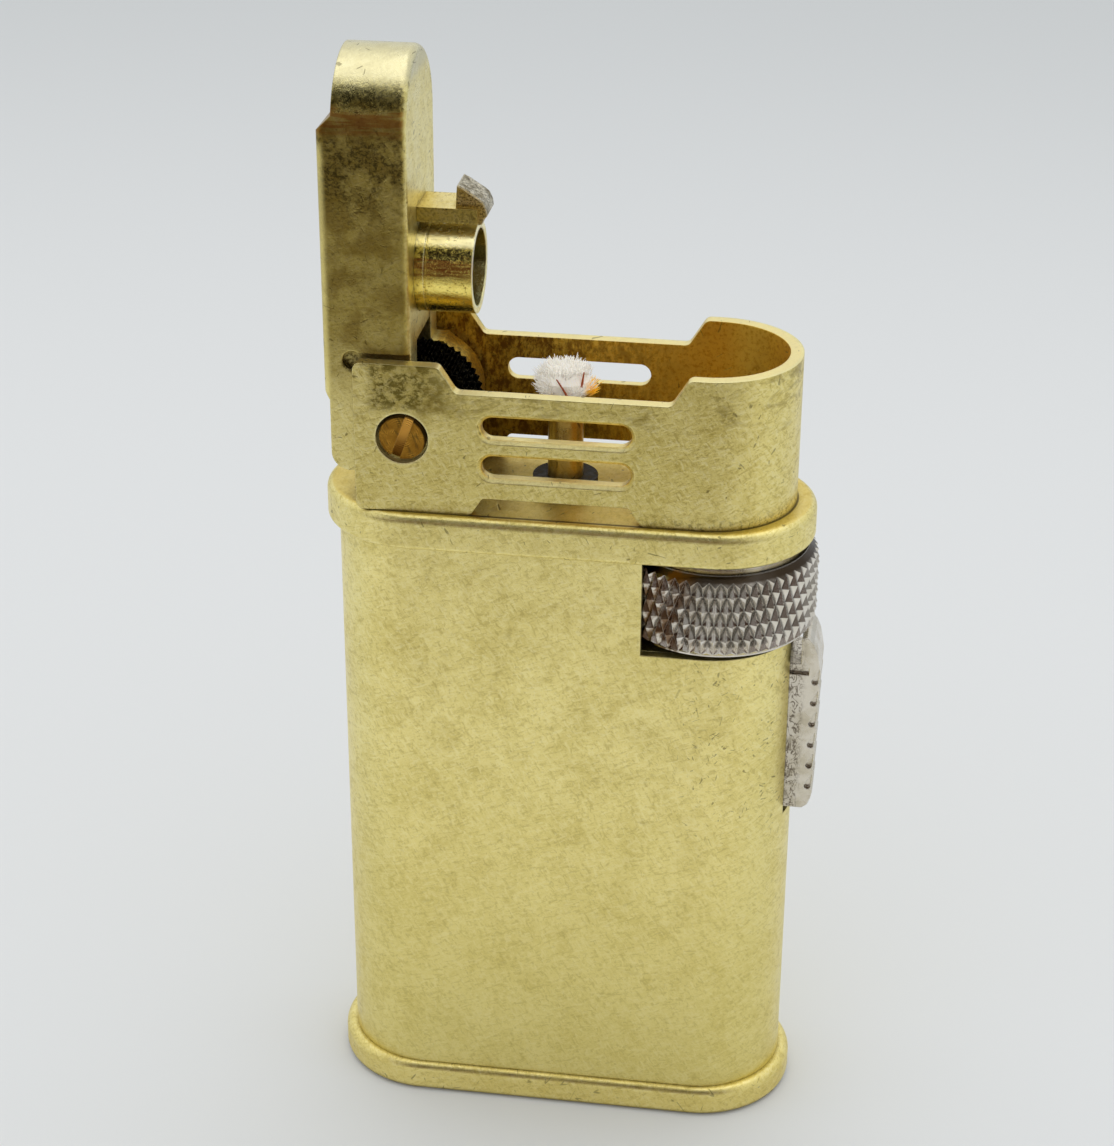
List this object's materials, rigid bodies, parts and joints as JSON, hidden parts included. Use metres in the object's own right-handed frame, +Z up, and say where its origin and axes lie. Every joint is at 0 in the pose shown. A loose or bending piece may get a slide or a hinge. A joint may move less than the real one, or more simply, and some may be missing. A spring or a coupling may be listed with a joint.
{
  "type": "pocket petrol lighter",
  "caption": "Brass pocket petrol lighter with a slotted wind guard, swinging lid with snuffer cup, knurled thumb wheel, sprung side lever, flint wheel and wick.",
  "frame": {"origin": "centre of the underside of the base plate, where the lighter stands", "axes": "+X along the body towards the thumb wheel and side lever, +Y away from the face with the hinge screw's head, +Z up"},
  "size_m": [0.0389, 0.0156, 0.0866],
  "materials": {
    "base_plate": "tumbled satin",
    "body_shell": "tumbled satin",
    "deck_plate": "tumbled satin",
    "wind_guard": "tumbled satin, aged golden-brown inside",
    "fuel_tank": "drawn sheet",
    "tank_cover": "drawn sheet",
    "tank_packing": "cotton wadding",
    "wheel_bed": "stamped sheet",
    "flint_tube": "drawn tube",
    "flint_screw": "turned",
    "flint_spring": "spring wire",
    "flint_follower": "turned",
    "flint": "matt alloy rod",
    "filler_screw": "turned",
    "filler_washer": "punched",
    "wick_tube": "drawn tube",
    "wick_collar": "turned, sooted",
    "wick": "woven cotton, frayed top",
    "lid": "tumbled satin with dark patina",
    "snuffer_cup": "turned and polished",
    "latch_arm": "cut strip",
    "latch_claw": "rough filed",
    "pivot_screw": "turned, browned",
    "pivot_bush": "turned",
    "hinge_washers": "punched",
    "lid_spring": "spring wire",
    "flint_wheel": "hardened and blackened",
    "drive_pawl": "spring strip",
    "thumb_wheel": "knurled and nickel plated",
    "wheel_axle": "turned",
    "wheel_washer": "punched",
    "catch_slide": "stamped",
    "side_lever": "nickel plated, worn",
    "lever_pin": "turned",
    "lever_bracket": "folded sheet",
    "lever_spring": "spring wire"
  },
  "bodies": {
    "body": {"base_plate": "base_plate", "body_shell": "body_shell", "deck_plate": "deck_plate", "wind_guard": "wind_guard", "fuel_tank": "fuel_tank", "tank_cover": "tank_cover", "tank_packing": "tank_packing", "wheel_bed": "wheel_bed", "flint_tube": "flint_tube", "flint_spring": "flint_spring", "filler_washer": "filler_washer", "wick_tube": "wick_tube", "wick_collar": "wick_collar", "wick": "wick", "pivot_screw": "pivot_screw", "pivot_bush": "pivot_bush", "hinge_washers": "hinge_washers", "lid_spring": "lid_spring", "wheel_axle": "wheel_axle", "wheel_washer": "wheel_washer", "lever_pin": "lever_pin", "lever_bracket": "lever_bracket", "lever_spring": "lever_spring"},
    "lid": {"lid": "lid", "snuffer_cup": "snuffer_cup", "latch_arm": "latch_arm", "latch_claw": "latch_claw", "drive_pawl": "drive_pawl"},
    "flint_wheel": {"flint_wheel": "flint_wheel"},
    "thumb_wheel": {"thumb_wheel": "thumb_wheel"},
    "catch": {"catch_slide": "catch_slide"},
    "side_lever": {"side_lever": "side_lever"},
    "flint": {"flint": "flint", "flint_follower": "flint_follower"},
    "flint_screw": {"flint_screw": "flint_screw"},
    "filler_screw": {"filler_screw": "filler_screw"}
  },
  "joints": [
    {"name": "lid_hinge", "type": "hinge", "parent": "body", "child": "lid", "pos_m": [-0.0117, 0, 0.0589], "axis": [0, 1, 0], "range_deg": [0, 90], "stiffness_Nm_per_rad": 0.004, "springref_deg": -28.65},
    {"name": "flint_wheel_spin", "type": "hinge", "parent": "body", "child": "flint_wheel", "pos_m": [-0.0117, 0, 0.0589], "axis": [0, 1, 0], "range_deg": [0, 90]},
    {"name": "thumb_wheel_turn", "type": "hinge", "parent": "body", "child": "thumb_wheel", "pos_m": [0.0115, 0, 0.046], "axis": [0, 0, 1], "range_deg": [0, 60]},
    {"name": "catch_travel", "type": "slide", "parent": "body", "child": "catch", "axis": [1, 0, 0], "range_m": [-0.00125, 0]},
    {"name": "side_lever_press", "type": "hinge", "parent": "body", "child": "side_lever", "pos_m": [0.0152, 0, 0.0301], "axis": [0, -1, 0], "range_deg": [0, 5], "stiffness_Nm_per_rad": 0.002, "springref_deg": -1.15},
    {"name": "flint_feed", "type": "slide", "parent": "body", "child": "flint", "axis": [0, 0, 1], "range_m": [-0.0012, 0], "stiffness_N_per_m": 2, "springref_m": 0.002, "deforming": ["flint_spring"]},
    {"name": "flint_screw_turn", "type": "hinge", "parent": "body", "child": "flint_screw", "pos_m": [-0.0117, 0, 0.001], "axis": [0, 0, -1], "continuous": true},
    {"name": "filler_screw_turn", "type": "hinge", "parent": "body", "child": "filler_screw", "pos_m": [0.0055, 0, 0.001], "axis": [0, 0, -1], "continuous": true}
  ],
  "couplings": [
    {"joint": "flint_wheel_spin", "follows": "lid_hinge", "ratio": 1},
    {"joint": "catch_travel", "follows": "thumb_wheel_turn", "m_per_rad": -0.0011937}
  ]
}
